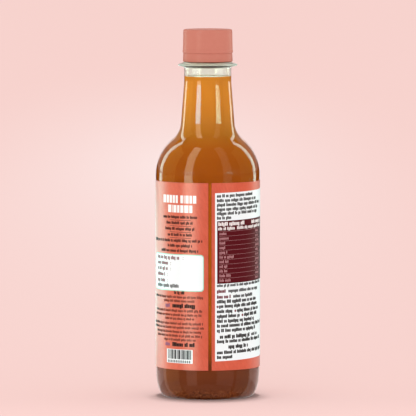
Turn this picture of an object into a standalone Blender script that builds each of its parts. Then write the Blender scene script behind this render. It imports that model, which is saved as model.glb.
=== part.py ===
"""A half-litre clear bottle of vinegar with a screw cap and a wrap-around label.

Every piece but the label is turned about Z. The bottle stands on z = 0, and the gap
between the label's two ends faces -Y.
"""
import bpy
from math import atan2, cos, degrees, radians, sin, sqrt, tan

# Driving sizes, in metres and degrees. Heights are measured up from the standing face.
ROUND_STEPS = 60
CLEARANCE = 0.0003

BODY_RADIUS = 0.0319
PANEL_RADIUS = 0.0317
PANEL_FOOT = 0.0180
PANEL_HEAD = 0.1344
PANEL_STEP = 0.0006
WALL = 0.0008

STANDING_RADIUS = 0.0265
STANDING_WIDTH = 0.0018
HEEL_HEIGHT = 0.0165
PUSH_UP = 0.0026
FLOOR_THICKNESS = 0.0014

SHOULDER_RADIUS = 0.0320
SHOULDER_FOOT = 0.1370
SHOULDER_ROUND = 0.0285
SHOULDER_SWEEP = 0.0200

NECK_RADIUS = 0.0142
NECK_FOOT = 0.1980
NECK_HEAD = 0.2036
NECK_LEAN = 4.4

RING_RADIUS = 0.01825
RING_HEIGHT = 0.2049
RING_EDGE = 0.0005
RING_CROWN = 0.2067

FINISH_RADIUS = 0.0134
BORE_RADIUS = 0.0117
BORE_FOOT = 0.2064
MOUTH_HEIGHT = 0.2252
LIP_ROUND = 0.0006

FILL_LEVEL = 0.1978

BAND_FOOT = 0.2070
BAND_HEIGHT = 0.00505
BAND_FOOT_RADIUS = 0.01535
BAND_HEAD_RADIUS = 0.01515
BAND_BORE = 0.0140
BAND_CHAMFER = 0.00025

CAP_FOOT = 0.2124
CAP_TOP = 0.2268
CAP_LIP_RADIUS = 0.0155
CAP_LIP_HEIGHT = 0.0013
CAP_FOOT_RADIUS = 0.01535
CAP_HEAD_RADIUS = 0.0151
CAP_EDGE_ROUND = 0.0011
CAP_BORE = 0.0140
CAP_CEILING = 0.2256

LABEL_FOOT = 0.0186
LABEL_HEAD = 0.1338
LABEL_THICKNESS = 0.0003
LABEL_GAP = 0.0021
LABEL_GAP_ANGLE = -87.6

SHARP_ANGLE = 32


def arc(centre, size, start, stop, steps):
    """Points on an ellipse about a centre, from one angle to another."""
    angles = [radians(start + (stop - start) * i / steps) for i in range(steps + 1)]
    return [(centre[0] + size[0] * cos(a), centre[1] + size[1] * sin(a)) for a in angles]


def dome(radius, height, rise, steps):
    """A shallow dome's points, from the axis out to its edge."""
    reach = [i / steps for i in range(steps + 1)]
    return [(radius * t, height + rise * (1 - t * t)) for t in reach]


def sweep_centre():
    """The centre of the hollow round between the shoulder and the leaning neck."""
    lean = radians(NECK_LEAN)
    start_r = NECK_RADIUS + SHOULDER_SWEEP * cos(lean) - (SHOULDER_RADIUS - SHOULDER_ROUND)
    start_z = NECK_FOOT + SHOULDER_SWEEP * sin(lean) - SHOULDER_FOOT
    along = start_r * sin(lean) - start_z * cos(lean)
    apart = start_r ** 2 + start_z ** 2 - (SHOULDER_ROUND + SHOULDER_SWEEP) ** 2
    slide = -along - sqrt(along ** 2 - apart)
    return (NECK_RADIUS + SHOULDER_SWEEP * cos(lean) + slide * sin(lean),
            NECK_FOOT + SHOULDER_SWEEP * sin(lean) - slide * cos(lean))


def shoulder(inset, head):
    """The neck's leaning side and the shoulder, from a height down to the body."""
    lean = radians(NECK_LEAN)
    crown = (SHOULDER_RADIUS - SHOULDER_ROUND, SHOULDER_FOOT)
    hollow = sweep_centre()
    turn = degrees(atan2(hollow[1] - crown[1], hollow[0] - crown[0]))
    neck_side = NECK_RADIUS + (NECK_FOOT - head) * tan(lean) - inset / cos(lean)
    hollow_size = SHOULDER_SWEEP + inset
    crown_size = SHOULDER_ROUND - inset
    return ([(neck_side, head)]
            + arc(hollow, (hollow_size, hollow_size), 180 + NECK_LEAN, 180 + turn, 4)[:-1]
            + arc(crown, (crown_size, crown_size), turn, 0, 7))


def inside(inset, floor, head):
    """The inner wall, from the middle of the floor up to a height in the neck."""
    heel_size = (BODY_RADIUS - STANDING_RADIUS - inset, HEEL_HEIGHT - floor)
    return (dome(STANDING_RADIUS - STANDING_WIDTH, floor, PUSH_UP, 3)
            + arc((STANDING_RADIUS, HEEL_HEIGHT), heel_size, -90, 0, 5)
            + shoulder(inset, head)[::-1])


def ring():
    """The support ring's outline, from the neck finish over its rim to the neck."""
    rim = (RING_RADIUS - RING_EDGE, RING_HEIGHT)
    return ([(FINISH_RADIUS, RING_CROWN + CLEARANCE / 2), (NECK_RADIUS, RING_CROWN)]
            + arc(rim, (RING_EDGE, RING_EDGE), 65, -65, 3)
            + [(NECK_RADIUS + RING_EDGE, NECK_HEAD), (NECK_RADIUS, NECK_HEAD - RING_EDGE)])


def panel():
    """The shallow recess round the body that takes the label."""
    return [(SHOULDER_RADIUS, PANEL_HEAD + PANEL_STEP), (PANEL_RADIUS, PANEL_HEAD),
            (PANEL_RADIUS, PANEL_FOOT), (BODY_RADIUS, PANEL_FOOT - PANEL_STEP)]


def bottle_outline():
    """Up the inner wall, over the lip and down the outside to the base."""
    bore = [(NECK_RADIUS - WALL, NECK_HEAD), (BORE_RADIUS, BORE_FOOT)]
    lip_inner = arc((BORE_RADIUS + LIP_ROUND, MOUTH_HEIGHT - LIP_ROUND),
                    (LIP_ROUND, LIP_ROUND), 180, 90, 1)
    lip_outer = arc((FINISH_RADIUS - LIP_ROUND, MOUTH_HEIGHT - LIP_ROUND),
                    (LIP_ROUND, LIP_ROUND), 90, 0, 1)
    heel = arc((STANDING_RADIUS, HEEL_HEIGHT), (BODY_RADIUS - STANDING_RADIUS, HEEL_HEIGHT),
               0, -90, 7)
    base = dome(STANDING_RADIUS - STANDING_WIDTH, 0, PUSH_UP, 3)[::-1]
    return (inside(WALL, FLOOR_THICKNESS, NECK_FOOT) + bore + lip_inner + lip_outer
            + ring() + shoulder(0, NECK_FOOT) + panel() + heel + base)


def vinegar_outline():
    """From the middle of the surface out to the wall and down to the floor."""
    liquid = inside(WALL + CLEARANCE, FLOOR_THICKNESS + CLEARANCE, FILL_LEVEL)
    return [(0, FILL_LEVEL)] + liquid[::-1]


def cap_outline():
    """Over the top, down the skirt to its lip and back up inside to the ceiling."""
    top = CAP_TOP - CAP_FOOT
    ceiling = CAP_CEILING - CAP_FOOT
    edge = arc((CAP_HEAD_RADIUS - CAP_EDGE_ROUND, top - CAP_EDGE_ROUND),
               (CAP_EDGE_ROUND, CAP_EDGE_ROUND), 90, 0, 4)
    lip_round = CAP_LIP_RADIUS - CAP_FOOT_RADIUS
    lip = [(CAP_FOOT_RADIUS, CAP_LIP_HEIGHT + lip_round),
           (CAP_LIP_RADIUS, CAP_LIP_HEIGHT),
           (CAP_LIP_RADIUS, lip_round),
           (CAP_LIP_RADIUS - lip_round, 0)]
    return ([(0, top)] + edge + lip
            + [(CAP_BORE, 0), (CAP_BORE, ceiling), (0, ceiling)])


def band_outline():
    """The tamper band's section, down its flared outside and back up its bore."""
    return [(BAND_HEAD_RADIUS - BAND_CHAMFER, BAND_HEIGHT),
            (BAND_HEAD_RADIUS, BAND_HEIGHT - BAND_CHAMFER),
            (BAND_FOOT_RADIUS, BAND_CHAMFER),
            (BAND_FOOT_RADIUS - BAND_CHAMFER, 0),
            (BAND_BORE, 0),
            (BAND_BORE, BAND_HEIGHT)]


def material(name, colour, roughness, transmission=0.0):
    """A plain surface with one colour and gloss."""
    surface = bpy.data.materials.new(name)
    surface.use_nodes = True
    shader = surface.node_tree.nodes["Principled BSDF"]
    shader.inputs["Base Color"].default_value = (*colour, 1)
    shader.inputs["Roughness"].default_value = roughness
    shader.inputs["Metallic"].default_value = 0.0
    shader.inputs["Transmission Weight"].default_value = transmission
    return surface


def turned(name, outline, surface, parts, closed=False, sweep=360, steps=ROUND_STEPS):
    """Turn an outline about Z, with its origin on the axis."""
    mesh = bpy.data.meshes.new(name)
    edges = [(i, i + 1) for i in range(len(outline) - 1)]
    if closed:
        edges.append((len(outline) - 1, 0))
    mesh.from_pydata([(r, 0, z) for r, z in outline], edges, [])
    mesh.materials.append(surface)
    piece = bpy.data.objects.new(name, mesh)
    parts.objects.link(piece)
    screw = piece.modifiers.new("Turn", "SCREW")
    screw.axis = "Z"
    screw.angle = radians(sweep)
    screw.steps = steps
    screw.render_steps = steps
    screw.use_merge_vertices = True
    screw.merge_threshold = 0.00001
    return piece


def finish_round(piece):
    """Apply a piece's modifiers and shade its round sides smooth."""
    depsgraph = bpy.context.evaluated_depsgraph_get()
    mesh = bpy.data.meshes.new_from_object(piece.evaluated_get(depsgraph))
    outline = piece.data
    piece.modifiers.clear()
    piece.data = mesh
    bpy.data.meshes.remove(outline)
    mesh.name = piece.name
    mesh.shade_smooth()
    mesh.set_sharp_from_angle(angle=radians(SHARP_ANGLE))


def make_bottle(parts):
    clear = material("clear_plastic", (0.93, 0.93, 0.90), 0.06, transmission=1.0)
    return turned("bottle", bottle_outline(), clear, parts)


def make_vinegar(parts):
    cloudy = material("cloudy_vinegar", (0.40, 0.12, 0.02), 0.12)
    return turned("vinegar", vinegar_outline(), cloudy, parts)


def make_cap(parts):
    coral = material("coral_plastic", (0.62, 0.22, 0.16), 0.38)
    cap = turned("cap", cap_outline(), coral, parts)
    cap.location.z = CAP_FOOT
    return cap


def make_band(parts):
    coral = material("coral_band", (0.62, 0.22, 0.16), 0.38)
    band = turned("tamper_band", band_outline(), coral, parts, closed=True)
    band.location.z = BAND_FOOT
    return band


def make_label(parts):
    """A printed sleeve that stops short of a full turn, so its ends leave a gap."""
    paper = material("printed_label", (0.75, 0.18, 0.11), 0.32)
    inner_radius = PANEL_RADIUS + CLEARANCE
    gap = degrees(LABEL_GAP / inner_radius)
    side = [(inner_radius, LABEL_HEAD - LABEL_FOOT), (inner_radius, 0)]
    label = turned("label", side, paper, parts, sweep=360 - gap, steps=ROUND_STEPS - 1)
    label.location.z = LABEL_FOOT
    label.rotation_euler.z = radians(LABEL_GAP_ANGLE + gap / 2)
    shell = label.modifiers.new("Paper", "SOLIDIFY")
    shell.thickness = LABEL_THICKNESS
    shell.offset = 1
    shell.use_even_offset = True
    return label


def main():
    for old in list(bpy.data.objects):
        bpy.data.objects.remove(old)
    parts = bpy.data.collections.new("vinegar_bottle")
    bpy.context.scene.collection.children.link(parts)
    pieces = [make_bottle(parts), make_vinegar(parts), make_cap(parts),
              make_band(parts), make_label(parts)]
    for piece in pieces:
        finish_round(piece)


main()
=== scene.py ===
"""Looks for a bottle of vinegar: clear plastic, a cloudy drink, a coral cap and a printed label."""
import random
from math import atan2, ceil, cos, degrees, pi, radians, sin, sqrt, tan

import bmesh
import bpy
from mathutils import Matrix, Vector


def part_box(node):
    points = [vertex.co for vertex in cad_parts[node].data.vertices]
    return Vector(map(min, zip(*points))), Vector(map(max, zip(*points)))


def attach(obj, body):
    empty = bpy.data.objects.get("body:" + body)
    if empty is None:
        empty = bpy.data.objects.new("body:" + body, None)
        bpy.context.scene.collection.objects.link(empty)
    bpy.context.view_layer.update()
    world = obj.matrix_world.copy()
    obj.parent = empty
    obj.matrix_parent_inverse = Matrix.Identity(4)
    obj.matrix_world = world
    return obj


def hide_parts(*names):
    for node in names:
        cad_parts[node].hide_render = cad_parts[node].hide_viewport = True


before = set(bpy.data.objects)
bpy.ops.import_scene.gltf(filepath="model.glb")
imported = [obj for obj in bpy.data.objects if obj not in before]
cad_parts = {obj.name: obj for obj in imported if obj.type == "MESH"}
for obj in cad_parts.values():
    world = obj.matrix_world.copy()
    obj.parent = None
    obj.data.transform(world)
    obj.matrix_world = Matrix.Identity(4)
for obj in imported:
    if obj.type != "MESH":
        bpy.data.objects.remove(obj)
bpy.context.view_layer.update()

# Sizes in metres and degrees. Heights come from the frame where a solid gives them.
MM = 0.001
SIDES = 144
SHARP_ANGLE = 32

MOUTH_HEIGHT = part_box("bottle")[1].z
FILL_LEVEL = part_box("vinegar")[1].z
CAP_FOOT, CAP_TOP = (corner.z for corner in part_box("cap"))
CAP_LIP_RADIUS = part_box("cap")[1].x
BAND_FOOT, BAND_TOP = (corner.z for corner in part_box("tamper_band"))
BAND_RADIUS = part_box("tamper_band")[1].x
LABEL_FOOT, LABEL_HEAD = (corner.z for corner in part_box("label"))

BODY_RADIUS = 0.0319
WALL = 0.0008
STANDING_RADIUS = 0.0265
STANDING_WIDTH = 0.0018
HEEL_HEIGHT = 0.0165
PUSH_UP = 0.0026
FLOOR_THICKNESS = 0.0014

SHOULDER_RADIUS = 0.0320
SHOULDER_FOOT = 0.1370
SHOULDER_ROUND = 0.0285
SHOULDER_SWEEP = 0.0155
# Where the round of the shoulder has fine corners, in degrees up from its foot.
FOOT_TURNS = (10.0, 6.3, 4.5, 2.15, 0.0)

NECK_RADIUS = 0.0142
NECK_FOOT = 0.1980
NECK_HEAD = 0.2036
NECK_LEAN = 4.4
NECK_EASE = 0.0026
NECK_EASE_HEAD = 0.1957
NECK_TOP_RADIUS = 0.01448

RING_RADIUS = 0.01825
RING_HEIGHT = 0.2049
RING_EDGE = 0.0005
RING_CROWN = 0.2067

FINISH_RADIUS = 0.0134
BORE_RADIUS = 0.0117
BORE_FOOT = 0.2064
LIP_ROUND = 0.0006

LABEL_RADIUS = 0.0323
LABEL_BACK = 0.03195
LABEL_GAP = 0.0021
LABEL_GAP_ANGLE = -87.6
INK_THICKNESS = 0.06 * MM

# The print is laid out flat, in millimetres, and the panel right of the gap slants a little.
FOLD = 1.6
PANEL_START = 4.5
SLANT_WIDTH = 50
PRINT_SLANT = 0.03
STAND = Matrix.Rotation(radians(90), 4, "X")


# Building shapes

def arc_point(centre, size, angle):
    """The point at an angle on an ellipse about a centre."""
    turn = radians(angle)
    return (centre[0] + size[0] * cos(turn), centre[1] + size[1] * sin(turn))


def arc(centre, size, start, stop, steps):
    """Points on an ellipse about a centre, from one angle to another."""
    return [arc_point(centre, size, start + (stop - start) * i / steps) for i in range(steps + 1)]


def round_arc(centre, radius, start, stop, steps):
    """Points on a circle about a centre, from one angle to another."""
    return arc(centre, (radius, radius), start, stop, steps)


def dome(radius, height, rise, steps):
    """A shallow dome's points, from the axis out to its edge."""
    reach = [i / steps for i in range(steps + 1)]
    return [(radius * t, height + rise * (1 - t * t)) for t in reach]


def finished(shape, name, finish, stands_for=None):
    """Turn a bmesh into a smooth-shaded piece that rides on the bottle."""
    mesh = bpy.data.meshes.new(name)
    shape.to_mesh(mesh)
    shape.free()
    mesh.shade_smooth()
    mesh.set_sharp_from_angle(angle=radians(SHARP_ANGLE))
    mesh.materials.append(finish)
    piece = bpy.data.objects.new(name, mesh)
    bpy.context.scene.collection.objects.link(piece)
    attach(piece, "root")
    if stands_for:
        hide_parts(stands_for)
    return piece


def turned(outline, sides=SIDES, closed=False):
    """Spin an outline of (radius, height) points about Z."""
    shape = bmesh.new()
    points = [shape.verts.new((r, 0, z)) for r, z in outline]
    for first, second in zip(points, points[1:]):
        shape.edges.new((first, second))
    if closed:
        shape.edges.new((points[-1], points[0]))
    bmesh.ops.spin(shape, geom=shape.verts[:] + shape.edges[:], cent=(0, 0, 0), dvec=(0, 0, 0),
                   axis=(0, 0, 1), angle=2 * pi, steps=sides, use_merge=True)
    bmesh.ops.remove_doubles(shape, verts=shape.verts[:], dist=0.001 * MM)
    bmesh.ops.recalc_face_normals(shape, faces=shape.faces[:])
    return shape


# Building materials

def tone(red, green, blue):
    """A linear colour from the 0 to 255 numbers of a screen colour."""
    parts = [value / 255 for value in (red, green, blue)]
    return (*(p / 12.92 if p <= 0.04045 else ((p + 0.055) / 1.055) ** 2.4 for p in parts), 1)


class Number:
    """A socket that carries a number. Arithmetic on it adds Math nodes."""

    def __init__(self, finish, socket):
        self.finish = finish
        self.socket = socket

    def math(self, operation, first, second, clamp=False):
        settings = {"operation": operation, "use_clamp": clamp}
        return self.finish.node("ShaderNodeMath", settings, {0: first, 1: second})

    def __add__(self, other):
        return self.math("ADD", self, other)

    def __sub__(self, other):
        return self.math("SUBTRACT", self, other)

    def __rsub__(self, other):
        return self.math("SUBTRACT", other, self)

    def __mul__(self, other):
        return self.math("MULTIPLY", self, other)

    def __truediv__(self, other):
        return self.math("DIVIDE", self, other)

    def clamped(self):
        return self.math("ADD", self, 0.0, clamp=True)

    __radd__ = __add__
    __rmul__ = __mul__


class Finish:
    """A material, built up around its Principled shader."""

    def __init__(self, name, **sockets):
        self.material = bpy.data.materials.new(name)
        self.material.use_nodes = True
        self.tree = self.material.node_tree
        self.shader = self.tree.nodes["Principled BSDF"]
        self.place = self.node("ShaderNodeTexCoord", output="Object")
        for socket, value in sockets.items():
            self.set(socket.replace("_", " "), value)

    def feed(self, socket, value):
        if isinstance(value, Number):
            self.tree.links.new(value.socket, socket)
        else:
            socket.default_value = value

    def set(self, socket, value):
        self.feed(self.shader.inputs[socket], value)

    def node(self, kind, settings=None, inputs=None, output=0):
        """Add a node with its settings, then the values or links of its sockets."""
        made = self.tree.nodes.new(kind)
        settings = dict(settings or {})
        stops = settings.pop("stops", [])
        for key, value in settings.items():
            setattr(made, key, value)
        for place, colour in stops[2:]:
            made.color_ramp.elements.new(place)
        for element, (place, colour) in zip(made.color_ramp.elements if stops else [], stops):
            element.position = place
            element.color = colour
        for key, value in (inputs or {}).items():
            self.feed(made.inputs[key], value)
        return Number(self, made.outputs[output])

    def height(self, low, high):
        """How far up the piece a point lies, from 0 at one height to 1 at another."""
        up = self.node("ShaderNodeSeparateXYZ", inputs={0: self.place}, output="Z")
        return ((up - low) / (high - low)).clamped()

    def zone(self, low, high, soft):
        """1 between two heights, fading to 0 within a soft distance on either side."""
        return self.height(low - soft, low) - self.height(high, high + soft)

    def noise(self, size, detail=2.0, stretch=(1, 1, 1), lean=0.0):
        """Soft noise in patches of about a size in metres, stretched and leaning if asked."""
        spread = tuple(1 / (size * s) for s in stretch)
        turned_by = {"Vector": self.place, "Rotation": (0, lean, 0)}
        leaning = self.node("ShaderNodeMapping", inputs=turned_by)
        where = self.node("ShaderNodeMapping", inputs={"Vector": leaning, "Scale": spread})
        return self.node("ShaderNodeTexNoise", inputs={"Vector": where, "Scale": 1.0, "Detail": detail})

    def mix(self, share, first, second):
        """A colour part of the way from one colour to another."""
        return self.node("ShaderNodeMix", {"data_type": "RGBA"}, {0: share, 6: first, 7: second},
                         output=2)

    def ramp(self, share, stops):
        """A colour read off a list of (place, colour) stops."""
        return self.node("ShaderNodeValToRGB", {"stops": stops}, {0: share})

    def bump(self, relief, depth, strength=1.0):
        """Raise the surface by a relief from 0 to 1, to a depth in metres."""
        inputs = {"Height": relief, "Distance": depth, "Strength": strength}
        self.set("Normal", self.node("ShaderNodeBump", inputs=inputs))


def clear_plastic():
    """Blown plastic: clear, slightly wavy, less sharp at the ring and the shoulder's foot.

    The ring's upper face is tinted brown, for the shade under the band.
    """
    finish = Finish("clear_plastic", IOR=1.45, Transmission_Weight=1.0)
    under_band = finish.height(205.2 * MM, 206.9 * MM)
    shades = [(0.0, (0.90, 0.98, 0.91, 1)),
              (0.5, (0.50, 0.44, 0.40, 1)),
              (1.0, (0.22, 0.12, 0.07, 1))]
    finish.set("Base Color", finish.ramp(under_band, shades))
    shoulder_foot = finish.zone(138.6 * MM, 141.4 * MM, 0.8 * MM) * 0.1
    empty_neck = finish.height(195 * MM, 197 * MM) * 0.03
    support_ring = finish.height(203 * MM, 203.6 * MM) * 0.28
    finish.set("Roughness", shoulder_foot + (empty_neck + support_ring) + 0.04)
    waves = finish.noise(9 * MM, detail=1.0, stretch=(1, 1, 3))
    wavier_above = finish.height(146 * MM, 156 * MM) * 0.5 + 0.1
    finish.bump(waves, 0.05 * MM, wavier_above)
    return finish.material


def cloudy_vinegar():
    """Amber, deeper in the body and brown with sediment near the floor; its colour by height also holds
    painted light.
    """
    finish = Finish("cloudy_vinegar", Roughness=1.0)
    finish.set("Specular IOR Level", 0.0)
    tall = FILL_LEVEL
    # Painted light in these stops: lighter up the neck, where the thin drink lets light through;
    # lighter behind the label, to make up for the shade in the label's gap; and lighter at the very
    # foot, to make up for the heel's shade.
    colours = [(2, (152, 78, 47)), (6, (131, 65, 38)), (11, (125, 63, 40)), (18.6, (135, 68, 41)),
               (24, (149, 77, 40)), (32, (184, 98, 35)), (42, (199, 106, 33)), (132.5, (199, 106, 33)),
               (134.5, (171, 86, 24)), (147, (171, 88, 25)), (154, (176, 93, 28)),
               (162, (183, 112, 38)), (170, (203, 131, 53)), (177, (213, 137, 53)),
               (187, (220, 142, 54))]
    stops = [(height * MM / tall, tone(*colour)) for height, colour in colours]
    amber_and_painted_light = finish.ramp(finish.height(0.0, tall), stops)
    low = 1 - finish.height(3 * MM, 8 * MM)
    grains = (finish.noise(1.0 * MM, detail=2.0) - 0.54).clamped() * 8.0
    flecks = (grains * low).clamped()
    speckled = finish.mix(flecks * 0.5, amber_and_painted_light, tone(196, 118, 76))
    dark = (finish.noise(1.3 * MM, detail=2.0) - 0.52).clamped() * low * 8.0
    finish.set("Base Color", finish.mix(dark.clamped() * 0.65, speckled, tone(50, 22, 15)))
    return finish.material


def liquid_surface():
    """The top of the drink, which mirrors the neck; its pale cream colour is a painted highlight for
    the bright line at the level.
    """
    finish = Finish("vinegar_surface", Base_Color=tone(255, 232, 222), Roughness=0.12, IOR=1.34)
    finish.set("Specular IOR Level", 0.02)
    finish.set("Sheen Weight", 1.0)
    finish.set("Sheen Roughness", 0.4)
    return finish.material


def moulded_coral(name, shade):
    """Satin moulded plastic with a faint mottle and a thin gloss."""
    finish = Finish(name, Roughness=0.5)
    finish.set("Specular IOR Level", 0.04)
    mottle = finish.noise(3 * MM, detail=3.0)
    finish.set("Base Color", finish.mix(mottle, tone(*[c - 5 for c in shade]), tone(*shade)))
    finish.bump(finish.noise(0.5 * MM, detail=2.0), 0.012 * MM)
    finish.set("Coat Weight", 0.08)
    finish.set("Coat Roughness", 0.12)
    return finish.material


def printed_paper(name, shade, gloss=0.8, roughness=0.33, unevenness=7, streaks=0.0):
    """Coated paper in one ink, with a fine tooth, slight unevenness and streaks if asked."""
    finish = Finish(name)
    finish.set("Specular IOR Level", gloss)
    tooth = finish.noise(0.9 * MM, detail=3.0)
    patches = finish.noise(14 * MM, detail=2.0)
    darker = tuple(max(c - unevenness, 0) for c in shade)
    uneven = tooth * 0.6 + patches * 0.4
    if streaks:
        grain = finish.noise(1.1 * MM, detail=2.0, stretch=(1, 1, 5), lean=0.35)
        uneven = (uneven + (grain - 0.5) * streaks).clamped()
    finish.set("Base Color", finish.mix(uneven, tone(*darker), tone(*shade)))
    finish.set("Roughness", (patches - 0.5) * 0.1 + roughness)
    finish.bump(tooth, 0.01 * MM)
    return finish.material


# The bottle and the drink

def sweep_centre():
    """The centre of the hollow round between the shoulder and the leaning neck."""
    lean = radians(NECK_LEAN)
    start_r = NECK_RADIUS + SHOULDER_SWEEP * cos(lean) - (SHOULDER_RADIUS - SHOULDER_ROUND)
    start_z = NECK_FOOT + SHOULDER_SWEEP * sin(lean) - SHOULDER_FOOT
    along = start_r * sin(lean) - start_z * cos(lean)
    apart = start_r ** 2 + start_z ** 2 - (SHOULDER_ROUND + SHOULDER_SWEEP) ** 2
    slide = -along - sqrt(along ** 2 - apart)
    return (NECK_RADIUS + SHOULDER_SWEEP * cos(lean) + slide * sin(lean),
            NECK_FOOT + SHOULDER_SWEEP * sin(lean) - slide * cos(lean))


def neck_side(inset, head):
    """The neck from a height down: upright at the ring, easing into a straight lean."""
    slope = tan(radians(NECK_LEAN))
    steps = 6
    points = [(NECK_TOP_RADIUS - inset, head)]
    for i in range(steps + 1):
        below = NECK_EASE * i / steps
        spread = slope * below ** 2 / (2 * NECK_EASE)
        points.append((NECK_TOP_RADIUS + spread - inset, NECK_EASE_HEAD - below))
    return points


def creased(points):
    """A point close to each side of every inner corner, so that the shading turns at once there."""
    near = 0.03 * MM
    line = [points[0]]
    for before, corner, after in zip(points, points[1:], points[2:]):
        corner = Vector(corner)
        back = (Vector(before) - corner).normalized()
        on = (Vector(after) - corner).normalized()
        line += [tuple(corner + back * near), tuple(corner), tuple(corner + on * near)]
    return line + [points[-1]]


def shoulder(inset, head):
    """The neck's leaning side and the shoulder, from a height down to the body.

    The corners at the foot skip the slopes that would mirror the ends of the lamps as dashes.
    """
    crown = (SHOULDER_RADIUS - SHOULDER_ROUND, SHOULDER_FOOT)
    hollow = sweep_centre()
    turn = degrees(atan2(hollow[1] - crown[1], hollow[0] - crown[0]))
    crown_size = SHOULDER_ROUND - inset
    round_part = round_arc(crown, crown_size, turn, FOOT_TURNS[0], 16)
    foot = [arc_point(crown, (crown_size, crown_size), angle) for angle in FOOT_TURNS]
    return (neck_side(inset, head)
            + round_arc(hollow, SHOULDER_SWEEP + inset, 180 + NECK_LEAN, 180 + turn, 12)[:-1]
            + round_part[:-1] + creased(foot))


def inside(inset, floor, head):
    """The inner wall, from the middle of the floor up to a height in the neck."""
    heel_size = (BODY_RADIUS - STANDING_RADIUS - inset, HEEL_HEIGHT - floor)
    return (dome(STANDING_RADIUS - STANDING_WIDTH, floor, PUSH_UP, 8)
            + arc((STANDING_RADIUS, HEEL_HEIGHT), heel_size, -90, 0, 14)
            + shoulder(inset, head)[::-1])


def ring():
    """The support ring's outline, from the neck finish over its rim to the neck."""
    rim = (RING_RADIUS - RING_EDGE, RING_HEIGHT)
    root = round_arc((NECK_TOP_RADIUS + RING_EDGE, NECK_HEAD - RING_EDGE), RING_EDGE, 100, 180, 5)
    return ([(FINISH_RADIUS, RING_CROWN + 0.3 * MM), (FINISH_RADIUS + 0.5 * MM, RING_CROWN)]
            + round_arc(rim, RING_EDGE, 65, -65, 8)
            + root)


def make_bottle():
    bend = 0.3 * MM
    neck_bore = NECK_TOP_RADIUS - WALL
    bore = [(neck_bore, NECK_HEAD - bend), (neck_bore - 0.2 * bend, NECK_HEAD),
            (BORE_RADIUS + 0.2 * bend, BORE_FOOT), (BORE_RADIUS, BORE_FOOT + bend)]
    lip = (round_arc((BORE_RADIUS + LIP_ROUND, MOUTH_HEIGHT - LIP_ROUND), LIP_ROUND, 180, 90, 4)
           + round_arc((FINISH_RADIUS - LIP_ROUND, MOUTH_HEIGHT - LIP_ROUND), LIP_ROUND, 90, 0, 4))
    heel_size = (BODY_RADIUS - STANDING_RADIUS, HEEL_HEIGHT)
    heel = arc((STANDING_RADIUS, HEEL_HEIGHT), heel_size, 0, -90, 18)
    base = dome(STANDING_RADIUS - STANDING_WIDTH, 0, PUSH_UP, 8)[::-1]
    upright = NECK_HEAD - RING_EDGE - 0.2 * MM
    outline = (inside(WALL, FLOOR_THICKNESS, NECK_HEAD - 2 * bend) + bore + lip
               + ring() + shoulder(0, upright) + heel + base)
    bottle = finished(turned(outline), "bottle_wall", clear_plastic(), "bottle")
    bottle.visible_shadow = False
    return bottle


def make_vinegar():
    """The drink reaches just into the wall, and its top edge climbs the wall a little."""
    reach = WALL - 0.15 * MM
    climb = 0.7 * MM
    rim = FILL_LEVEL + 0.15 * MM
    calm = rim - climb
    liquid = inside(reach, FLOOR_THICKNESS - 0.1 * MM, rim)
    behind_label = [(BODY_RADIUS - 0.2 * MM, LABEL_FOOT + 0.5 * MM),
                    (BODY_RADIUS - 0.2 * MM, LABEL_HEAD - 0.5 * MM)]
    heel_end = len(liquid) - len(shoulder(reach, rim))
    liquid[heel_end:heel_end] = behind_label
    edge = liquid[-1][0]
    curve = 1.4 * MM
    meniscus = arc((edge - curve, rim), (curve, climb), -90, 0, 6)
    top = [(0, calm), (edge - curve - 0.4 * MM, calm)] + meniscus
    finished(turned(top[:-1] + liquid[::-1]), "vinegar_body", cloudy_vinegar(), "vinegar")
    lift = 0.04 * MM
    skin = [(r, z + lift) for r, z in top[:-1]]
    under = [(r, z - lift) for r, z in top[:-1]]
    finished(turned(skin + under[::-1]), "vinegar_surface", liquid_surface())


# The closure

def make_cap():
    head_radius = CAP_LIP_RADIUS - 0.4 * MM
    skirt_radius = CAP_LIP_RADIUS - 0.15 * MM
    edge_round = 1.1 * MM
    lip_height = 1.3 * MM
    bore = CAP_LIP_RADIUS - 1.5 * MM
    ceiling = CAP_TOP - 1.7 * MM
    gate = [(0, CAP_TOP - 0.25 * MM), (0.7 * MM, CAP_TOP - 0.25 * MM), (1.0 * MM, CAP_TOP - 0.02 * MM)]
    panel = [(head_radius - 2.6 * MM, CAP_TOP - 0.12 * MM), (head_radius - 2.2 * MM, CAP_TOP)]
    edge = round_arc((head_radius - edge_round, CAP_TOP - edge_round), edge_round, 90, 0, 10)
    foot = (round_arc((CAP_LIP_RADIUS - 0.3 * MM, CAP_FOOT + lip_height), 0.3 * MM, 60, 0, 4)
            + round_arc((CAP_LIP_RADIUS - 0.3 * MM, CAP_FOOT + 0.3 * MM), 0.3 * MM, 0, -90, 5))
    outline = (gate + panel + edge + [(skirt_radius, CAP_FOOT + lip_height + 0.5 * MM)] + foot
               + [(bore, CAP_FOOT), (bore, ceiling), (0, ceiling)])
    coral = moulded_coral("cap_coral", (206, 126, 109))
    finished(turned(outline), "cap_shell", coral, "cap")


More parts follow.
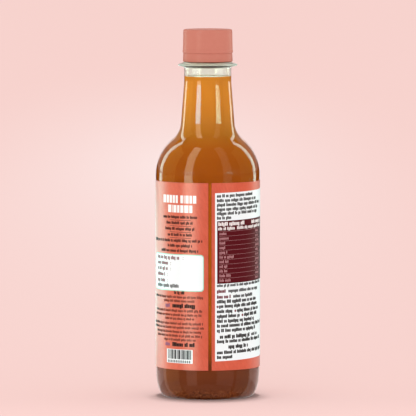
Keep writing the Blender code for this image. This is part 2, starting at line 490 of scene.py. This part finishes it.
def make_band():
    head = BAND_RADIUS - 0.2 * MM
    bore = BAND_RADIUS - 1.35 * MM
    rim = 0.3 * MM
    outline = (round_arc((head - rim, BAND_TOP - rim), rim, 90, 0, 5)
               + round_arc((BAND_RADIUS - rim, BAND_FOOT + rim), rim, 0, -90, 5)
               + [(bore, BAND_FOOT), (bore, BAND_TOP)])
    coral = moulded_coral("band_coral", (204, 125, 108))
    finished(turned(outline, closed=True), "band_ring", coral, "tamper_band")
    bridge = head - 0.08 * MM
    ledge = [(bore + 0.1 * MM, BAND_TOP - 0.2 * MM), (bridge, BAND_TOP - 0.2 * MM),
             (bridge, CAP_FOOT + 0.2 * MM), (bore + 0.1 * MM, CAP_FOOT + 0.2 * MM)]
    finished(turned(ledge, closed=True), "band_bridge", coral)
    # A dark ring in the gap under the band: painted shade, for the dark line beneath the band.
    tuck = [(bore + 0.1 * MM, BAND_FOOT + 0.2 * MM), (head - 0.5 * MM, BAND_FOOT + 0.2 * MM),
            (head - 0.5 * MM, RING_CROWN - 0.1 * MM), (bore + 0.1 * MM, RING_CROWN - 0.1 * MM)]
    shaded = moulded_coral("band_painted_shade_coral", (118, 62, 44))
    finished(turned(tuck, closed=True), "band_painted_shade_ring", shaded)


# The label

def make_sleeve():
    """The paper, turned short of a full turn so that its ends leave a gap."""
    gap = LABEL_GAP / LABEL_RADIUS
    start = radians(LABEL_GAP_ANGLE) + gap / 2
    turn = Matrix.Rotation(start, 4, "Z")
    edge = 0.04 * MM
    outline = [(LABEL_BACK, LABEL_HEAD), (LABEL_RADIUS - edge, LABEL_HEAD),
               (LABEL_RADIUS, LABEL_HEAD - edge), (LABEL_RADIUS, LABEL_FOOT + edge),
               (LABEL_RADIUS - edge, LABEL_FOOT), (LABEL_BACK, LABEL_FOOT)]
    shape = bmesh.new()
    section = shape.faces.new([shape.verts.new(turn @ Vector((r, 0, z))) for r, z in outline])
    bmesh.ops.spin(shape, geom=[section], cent=(0, 0, 0), dvec=(0, 0, 0), axis=(0, 0, 1),
                   angle=2 * pi - gap, steps=SIDES)
    bmesh.ops.recalc_face_normals(shape, faces=shape.faces[:])
    coral = printed_paper("label_coral", (230, 94, 62), unevenness=20, streaks=1.2)
    finished(shape, "label_sleeve", coral, "label")


class Ink:
    """One colour of print: flat shapes in millimetres, across from the front and up."""

    def __init__(self, lift):
        self.lift = lift * MM
        self.shape = bmesh.new()

    def sheet(self, left, right, foot, head, folds):
        """An upright rectangle with a number of upright strips."""
        size = Matrix.Diagonal(((right - left) / 2 * MM, 1, (head - foot) / 2 * MM, 1))
        place = Matrix.Translation(((left + right) / 2 * MM, 0, (foot + head) / 2 * MM))
        bmesh.ops.create_grid(self.shape, x_segments=folds, y_segments=1, size=1,
                              matrix=place @ size @ STAND)

    def bar(self, left, right, foot, head):
        """A rectangle, folded often enough to follow the bottle."""
        self.sheet(left, right, foot, head, ceil((right - left) / FOLD))

    def field(self, left, right, foot, head, corner=0.0):
        """A panel of colour, with round corners if asked."""
        panel = Ink(0)
        panel.sheet(left, right, foot, head, 1)
        if corner:
            bmesh.ops.bevel(panel.shape, geom=panel.shape.verts[:], offset=corner * MM, segments=6,
                            profile=0.5, affect="VERTICES", material=-1)
        panel.fold(left, right)
        panel.pour_into(self)

    def disc(self, across, up, width, tall):
        """A round or oval spot of colour."""
        spot = Ink(0)
        place = Matrix.Translation((across * MM, 0, up * MM))
        size = Matrix.Diagonal((width / 2 * MM, 1, tall / 2 * MM, 1))
        bmesh.ops.create_circle(spot.shape, cap_ends=True, segments=40, radius=1,
                                matrix=place @ size @ STAND)
        spot.fold(across - width / 2, across + width / 2)
        spot.pour_into(self)

    def fold(self, left, right):
        """Cut upright folds, so that a wide shape can follow the bottle."""
        for i in range(1, ceil((right - left) / FOLD)):
            geometry = self.shape.verts[:] + self.shape.edges[:] + self.shape.faces[:]
            bmesh.ops.bisect_plane(self.shape, geom=geometry, plane_co=((left + i * FOLD) * MM, 0, 0),
                                   plane_no=(1, 0, 0), dist=0.0001 * MM)

    def pour_into(self, other):
        mesh = bpy.data.meshes.new("shape")
        self.shape.to_mesh(mesh)
        self.shape.free()
        other.shape.from_mesh(mesh)
        bpy.data.meshes.remove(mesh)

    def words(self, left, right, up, size, weight=0.7):
        """A line of generic small print: blocks in word groups, some tall and some hanging."""
        pitch = size * 0.58
        across = left
        while across < right - pitch:
            for _ in range(random_words.randint(2, 8)):
                if across > right - pitch:
                    break
                kind = random_words.random()
                head = up + size * (0.78 if kind < 0.3 else 0.5)
                foot = up - size * (0.8 if kind > 0.88 else 0.5)
                self.bar(across, across + pitch * weight, foot, head)
                across += pitch
            across += pitch * 0.8

    def wrap(self, name, finish):
        """Give the ink its thickness and bend it round the label."""
        bmesh.ops.solidify(self.shape, geom=self.shape.faces[:], thickness=INK_THICKNESS)
        lowest = min(vert.co.y for vert in self.shape.verts)
        for vert in self.shape.verts:
            angle = vert.co.x / LABEL_RADIUS
            radius = LABEL_RADIUS + self.lift - (vert.co.y - lowest)
            along = vert.co.x - PANEL_START * MM
            rise = PRINT_SLANT * along if 0 < along < SLANT_WIDTH * MM else 0
            vert.co = (radius * sin(angle), -radius * cos(angle), vert.co.z + rise)
        bmesh.ops.recalc_face_normals(self.shape, faces=self.shape.faces[:])
        finished(self.shape, name, finish)


random_words = random.Random(11)


def print_left_block(white, outline, dark, heading, maroon, violet):
    """The narrow block left of the gap: a heading, small print, a white box and a bar code."""
    heading_word(heading, -32.2, 123.6, 4.8, (3.1, 2.4, 2.4, 2.0, 1.9))
    heading_word(heading, -17.6, 123.6, 4.8, (2.1, 0.8, 2.4, 1.9, 2.4))
    heading_word(heading, -27.5, 117.7, 4.6, (3.1, 0.9, 2.6, 2.0, 2.5, 3.1, 2.2))
    for left, right, up in ((-32.2, -6.0, 112.5), (-29.0, -8.5, 108.9), (-30.2, -8.0, 105.3),
                            (-27.8, -9.4, 101.6), (-44.5, -2.4, 98.0), (-27.8, -9.3, 94.9),
                            (-34.5, -5.4, 91.8)):
        dark.words(left, right, up, 1.35)
    for up in (110.7, 107.1, 103.4, 99.8):
        dark.bar(-26.0, -10.5, up - 0.1, up + 0.1)
    outline.field(-44.1, -2.4, 67.1, 89.8, 2.0)
    white.field(-43.5, -2.9, 67.6, 89.3, 1.7)
    for right, up in ((-17.5, 87.3), (-27.0, 83.8), (-27.0, 80.4), (-30.0, 76.8), (-30.0, 73.1)):
        maroon.words(-40.0, right, up, 1.7)
        maroon.bar(right + 1.6, right + 2.0, up - 0.9, up - 0.5)
        maroon.bar(right + 1.6, right + 2.0, up + 0.3, up + 0.7)
    dark.words(-40.0, -18.5, 70.0, 1.7)
    for left, right, up in ((-43.5, -2.5, 63.3), (-31.5, -7.0, 60.9), (-42.0, -3.0, 54.9),
                            (-43.0, -3.0, 52.3), (-30.2, -8.3, 50.0), (-45.5, -2.2, 47.0),
                            (-45.5, -1.8, 44.5), (-41.0, -3.2, 41.9), (-40.0, -3.0, 39.4),
                            (-31.2, -7.2, 37.0)):
        dark.words(left, right, up, 1.15, 0.5)
    dark.words(-22.3, -13.8, 66.0, 1.5, 0.8)
    for up in (57.9, 34.0):
        violet.words(-30.0, -25.6, up, 1.8, 0.7)
        dark.words(-23.8, -7.6, up, 2.0, 0.85)
    white.field(-28.7, -9.4, 22.7, 31.2)


def print_bar_code(bars):
    """Upright bars of uneven width over a row of small ticks."""
    across = -27.6
    while across < -10.6:
        width = random_words.choice((0.3, 0.5, 0.7, 1.1))
        bars.bar(across, across + width, 25.2, 30.9)
        across += width + random_words.choice((0.2, 0.3, 0.5))
    for i in range(13):
        left = -27.6 + i * 1.33
        bars.bar(left, left + 0.7, 23.0, 24.5)


def print_right_panel(white, maroon_field, maroon, dark, pale, faint):
    """The wide white panel: small print round a dark table of figures."""
    white.field(PANEL_START, 51.0, 24.3, 127.6)
    for right, up in ((33.0, 125.6), (38.0, 122.8), (44.0, 120.1), (39.5, 117.4), (39.0, 114.8),
                      (16.3, 112.1)):
        dark.words(5.7, right, up, 1.5, 0.8)
    maroon_field.field(5.8, 48.0, 71.9, 110.4)
    pale.words(6.5, 25.5, 108.3, 1.8, 0.8)
    pale.words(31.5, 45.0, 108.3, 1.7, 0.8)
    pale.words(6.5, 18.0, 105.5, 1.5, 0.75)
    pale.words(19.0, 46.0, 105.5, 1.5, 0.75)
    rows = 11
    for row in range(rows):
        up = 102.4 - row * 2.87
        faint.bar(7.0, 47.0, up + 1.42, up + 1.52)
        faint.words(7.3, 7.3 + random_words.uniform(3.5, 10.0), up, 1.3, 0.55)
        faint.words(36.5, 36.5 + random_words.uniform(4.0, 7.5), up, 1.2, 0.45)
    dark.words(5.7, 46.0, 70.6, 1.3, 0.8)
    maroon.words(5.7, 12.0, 67.1, 1.6, 0.85)
    dark.words(13.0, 39.5, 67.1, 1.5, 0.8)
    maroon.words(5.7, 15.3, 63.6, 1.6, 0.85)
    dark.words(16.3, 34.0, 63.6, 1.5, 0.8)
    for left, right, up in ((5.7, 37.5, 60.7), (7.0, 39.0, 57.8), (5.7, 16.3, 54.7),
                            (19.0, 41.0, 54.7), (5.7, 21.6, 51.7), (24.5, 39.5, 51.7),
                            (5.7, 34.5, 48.7), (5.7, 46.0, 45.8), (5.7, 37.0, 42.9),
                            (5.7, 43.5, 36.2), (5.7, 46.0, 29.4), (5.7, 16.0, 26.5)):
        dark.words(left, right, up, 1.6, 0.85)
    for across, up in ((6.1, 57.8), (17.8, 54.7), (23.2, 51.7)):
        maroon.disc(across, up, 1.2, 1.5)
    dark.words(7.5, 30.5, 39.0, 1.8, 0.88)
    dark.words(31.5, 39.5, 39.0, 1.5, 0.8)
    dark.words(13.0, 29.0, 32.7, 1.8, 0.88)


def heading_word(ink, left, up, size, widths):
    """A bold heading as plain blocks of uneven width."""
    for width in widths:
        ink.bar(left, left + width - 0.3, up - size / 2, up + size / 2)
        left += width + 0.3


def print_front(cream, red, green, maroon, dark):
    """The plain front, on the side away from the camera: a panel with a simple apple."""
    middle = 104.0
    cream.field(middle - 38, middle + 38, 30.0, 122.0, 4.0)
    for side in (-1, 1):
        red.disc(middle + side * 6.5, 89.0, 18.0, 22.0)
        red.disc(middle + side * 4.0, 83.0, 15.0, 16.0)
    maroon.bar(middle - 0.7, middle + 0.7, 97.0, 104.5)
    green.disc(middle + 5.5, 103.0, 9.5, 4.0)
    cream.field(middle - 25, middle + 25, 124.0, 125.0)
    maroon.field(middle - 26, middle + 26, 60.5, 68.5, 1.0)
    maroon.field(middle - 18, middle + 18, 52.0, 57.5, 1.0)
    maroon.bar(middle - 30, middle + 30, 47.6, 48.0)
    for half, up in ((24, 44.0), (27, 40.8), (20, 37.6)):
        dark.words(middle - half, middle + half, up, 1.5)


def print_label():
    outline = Ink(0.02)
    white = Ink(0.045)
    heading = Ink(0.03)
    maroon_field = Ink(0.07)
    dark = Ink(0.09)
    maroon = Ink(0.09)
    pale = Ink(0.1)
    faint = Ink(0.1)
    violet = Ink(0.09)
    bars = Ink(0.08)
    cream = Ink(0.04)
    red = Ink(0.08)
    green = Ink(0.12)
    print_left_block(white, outline, dark, heading, maroon, violet)
    print_bar_code(bars)
    print_right_panel(white, maroon_field, maroon, dark, pale, faint)
    print_front(cream, red, green, maroon, dark)
    outline.wrap("print_green_outline", printed_paper("ink_green", (170, 225, 195)))
    white.wrap("print_white_panels", printed_paper("ink_white", (250, 250, 250)))
    heading.wrap("print_white_heading", printed_paper("ink_heading", (252, 248, 244)))
    maroon_field.wrap("print_maroon_table",
                      printed_paper("ink_maroon_field", (93, 11, 23), 0.1, 0.45))
    dark.wrap("print_dark_words", printed_paper("ink_dark", (40, 24, 24), 0.2, 0.45))
    maroon.wrap("print_maroon_words", printed_paper("ink_maroon", (120, 30, 45), 0.2, 0.45))
    pale.wrap("print_pale_words", printed_paper("ink_pale", (252, 236, 232)))
    faint.wrap("print_faint_rows", printed_paper("ink_faint", (204, 144, 146), 0.1, 0.45))
    violet.wrap("print_violet_words", printed_paper("ink_violet", (138, 92, 130), 0.2, 0.45))
    bars.wrap("print_bars", printed_paper("ink_bars", (48, 48, 52), 0.3))
    cream.wrap("print_cream_panel", printed_paper("ink_cream", (250, 238, 216)))
    red.wrap("print_red_apple", printed_paper("ink_red", (196, 48, 40)))
    green.wrap("print_green_leaf", printed_paper("ink_leaf", (96, 140, 62)))


# The stage

def panel(name, azimuth, foot, head, width, radiance, colour=(1, 1, 1), seen_through=True):
    """An upright soft panel between two heights, met only by reflections and through plastic."""
    distance = 1.2
    data = bpy.data.lights.new(name, "AREA")
    data.shape = "RECTANGLE"
    data.size = 2 * distance * tan(radians(width / 2))
    data.size_y = head - foot
    data.energy = radiance * pi * data.size * data.size_y
    data.color = colour
    lamp = bpy.data.objects.new(name, data)
    bearing = radians(azimuth)
    lamp.location = (distance * sin(bearing), -distance * cos(bearing), (foot + head) / 2)
    lamp.rotation_euler = (radians(90), 0, bearing)
    lamp.visible_diffuse = False
    lamp.visible_camera = False
    lamp.visible_transmission = seen_through
    bpy.context.scene.collection.objects.link(lamp)
    return lamp


def make_key():
    """A soft light from above the camera."""
    data = bpy.data.lights.new("key", "AREA")
    data.size = 1.5
    data.energy = 3
    lamp = bpy.data.objects.new("key", data)
    lamp.location = (-0.6, -2.3, 1.4)
    lamp.rotation_euler = (Vector((0, 0, 0.12)) - lamp.location).to_track_quat("-Z", "Y").to_euler()
    lamp.visible_glossy = False
    bpy.context.scene.collection.objects.link(lamp)


def make_overhead(floor):
    """Light from above for the floor alone, so that the bottle's foot has a dark, close shadow."""
    data = bpy.data.lights.new("overhead", "SUN")
    radiance = 0.85
    data.energy = radiance * pi
    data.angle = radians(7)
    lamp = bpy.data.objects.new("overhead", data)
    lamp.rotation_euler = (radians(-4), 0, 0)
    bpy.context.scene.collection.objects.link(lamp)
    lit = bpy.data.collections.new("lit_from_above")
    lit.objects.link(floor)
    lamp.light_linking.receiver_collection = lit


def make_lights():
    """Soft panels all round. The empty neck mirrors the heights that most of them leave free."""
    free_foot = 0.132
    free_head = 0.158
    label_foot = -0.096
    pale = (1.0, 1.0, 0.7)
    warm = (1.0, 0.9, 0.55)
    pink = (1.0, 0.85, 0.82)
    soft = ((0.057, free_foot, 5.4, pale, 0), (free_head, 0.292, 4.8, pale, 0),
            (0.334, 1.0, 4.2, warm, 0), (1.0, 1.6, 4.2, warm, 4),
            (1.6, 2.3, 4.2, warm, 9), (2.3, 3.6, 4.2, warm, 15))
    for foot, head, radiance, colour, outward in soft:
        panel("soft_left", -43.5 - outward / 2, foot, head, 19.5 + outward, radiance, colour)
        panel("soft_right", 44.5 + outward / 2, foot, head, 20 + outward, 0.7, (1.0, 0.9, 0.6))
    panel("strip_left", -43.5, 0.294, 0.33, 21, 16.0, (0.38, 0.74, 0.84))
    panel("strip_right", 49, 0.294, 0.33, 22, 10.5, (0.56, 1.0, 0.7))
    panel("label_left", -38, label_foot, 0.057, 28, 7.8, (0.5, 1.0, 0.85))
    panel("label_front", -85, label_foot, 0.057, 30, 2.4, (0.6, 1.0, 0.8))
    panel("label_edge", -117, label_foot, 0.052, 30, 6.6, (0.36, 1.0, 0.93), seen_through=False)
    panel("label_rim", -155, label_foot, 0.052, 44, 3.2, (0.5, 1.0, 0.93), seen_through=False)
    panel("label_right", 143, label_foot, 0.052, 74, 1.0, (0.5, 1.0, 0.93), seen_through=False)
    for side in (-1, 1):
        for foot, head in ((0.06, free_foot), (free_head, 1.5)):
            panel("rim", side * 128, foot, head, 13, 5.0, (0.75, 1.0, 0.85))
            panel("haze", side * 100, foot, head, 44, 0.7 - side * 0.2, (1.0, 0.67, 0.15),
                  seen_through=False)
        panel("side", side * 152, 0.16, 1.0, 30, 0.3)
        panel("heel_back", side * 143, -0.28, -0.11, 74, 1.0, pink, seen_through=False)
        panel("floor_back", side * 143, -2.4, -0.28, 74, 0.6, pink, seen_through=False)
        panel("under", side * 30, -3.0, -0.5, 60, 0.2, (1.0, 0.8, 0.77), seen_through=False)
    panel("floor_front_left", -36, -0.5, -0.11, 24, 0.9, (1.0, 0.6, 0.5), seen_through=False)
    panel("floor_front_right", 40, -0.5, -0.11, 40, 0.5, (1.0, 0.6, 0.5), seen_through=False)
    panel("heel_left", -92, -0.32, -0.11, 50, 1.1, (1.0, 0.5, 0.22), seen_through=False)
    panel("floor_left", -92, -0.9, -0.32, 50, 0.8, (1.0, 0.6, 0.4), seen_through=False)
    panel("heel_right", 92, -0.9, -0.11, 50, 0.25, (0.8, 1.0, 0.8), seen_through=False)
    panel("glow_behind", 180, 0.12, 0.185, 12, 0.1, (0.05, 0.8, 1.0)).visible_glossy = False
    panel("backdrop", 180, 0.16, 0.8, 36, 0.9, (1.0, 0.9, 0.88), seen_through=False)
    panel("fill_left", -62, -0.2, 1.4, 50, 1.1).visible_glossy = False
    panel("fill_right", 62, -0.2, 1.4, 50, 2.05).visible_glossy = False
    make_key()
    world = bpy.data.worlds.new("studio")
    world.use_nodes = True
    world.node_tree.nodes["Background"].inputs["Color"].default_value = (1.0, 1.0, 1.0, 1)
    world.node_tree.nodes["Background"].inputs["Strength"].default_value = 1.05
    bpy.context.scene.world = world
    world.cycles_visibility.glossy = False


def make_floor():
    """A wide pale floor with painted light: a little lighter in the middle of the view behind the
    bottle, and a little lighter towards the camera to make up for the bottle's shade in front of it.
    """
    shape = bmesh.new()
    bmesh.ops.create_grid(shape, x_segments=1, y_segments=1, size=40)
    mesh = bpy.data.meshes.new("floor")
    shape.to_mesh(mesh)
    shape.free()
    finish = Finish("pale_floor", Roughness=1.0)
    finish.set("Specular IOR Level", 0.0)
    # Painted light: a lighter pool in the middle of the view behind the bottle.
    spread = {"Vector": finish.place, "Location": (0.1, -0.8, 0), "Scale": (2.9, 0.36, 1)}
    middle = finish.node("ShaderNodeMapping", inputs=spread)
    glow = finish.node("ShaderNodeTexGradient", {"gradient_type": "QUADRATIC_SPHERE"},
                       {"Vector": middle}, output="Fac")
    away = finish.node("ShaderNodeSeparateXYZ", inputs={0: finish.place}, output="Y")
    # Painted light: lighter towards the camera, against the bottle's shade in front of it.
    near = (away / -0.1 - 0.2).clamped()
    plain = finish.mix(near, tone(186, 158, 154), tone(190, 161, 157))
    finish.set("Base Color", finish.mix(glow, plain, tone(190, 174, 172)))
    mesh.materials.append(finish.material)
    floor = bpy.data.objects.new("floor", mesh)
    floor.visible_glossy = False
    floor.visible_diffuse = False
    floor.visible_shadow = False
    bpy.context.scene.collection.objects.link(floor)
    return floor


def make_camera():
    """The photograph's view: far off, a little above the bottle."""
    data = bpy.data.cameras.new("camera")
    data.sensor_width = 36
    data.lens = 448
    data.clip_end = 200
    camera = bpy.data.objects.new("camera", data)
    camera.location = (0.00015, -3.19, 0.345)
    target = Vector((0.00015, 0, 0.1163))
    camera.rotation_euler = (target - camera.location).to_track_quat("-Z", "Y").to_euler()
    bpy.context.scene.collection.objects.link(camera)
    bpy.context.scene.camera = camera
    bpy.context.scene.view_settings.view_transform = "Standard"


make_bottle()
make_vinegar()
make_cap()
make_band()
make_sleeve()
print_label()
make_overhead(make_floor())
make_lights()
make_camera()
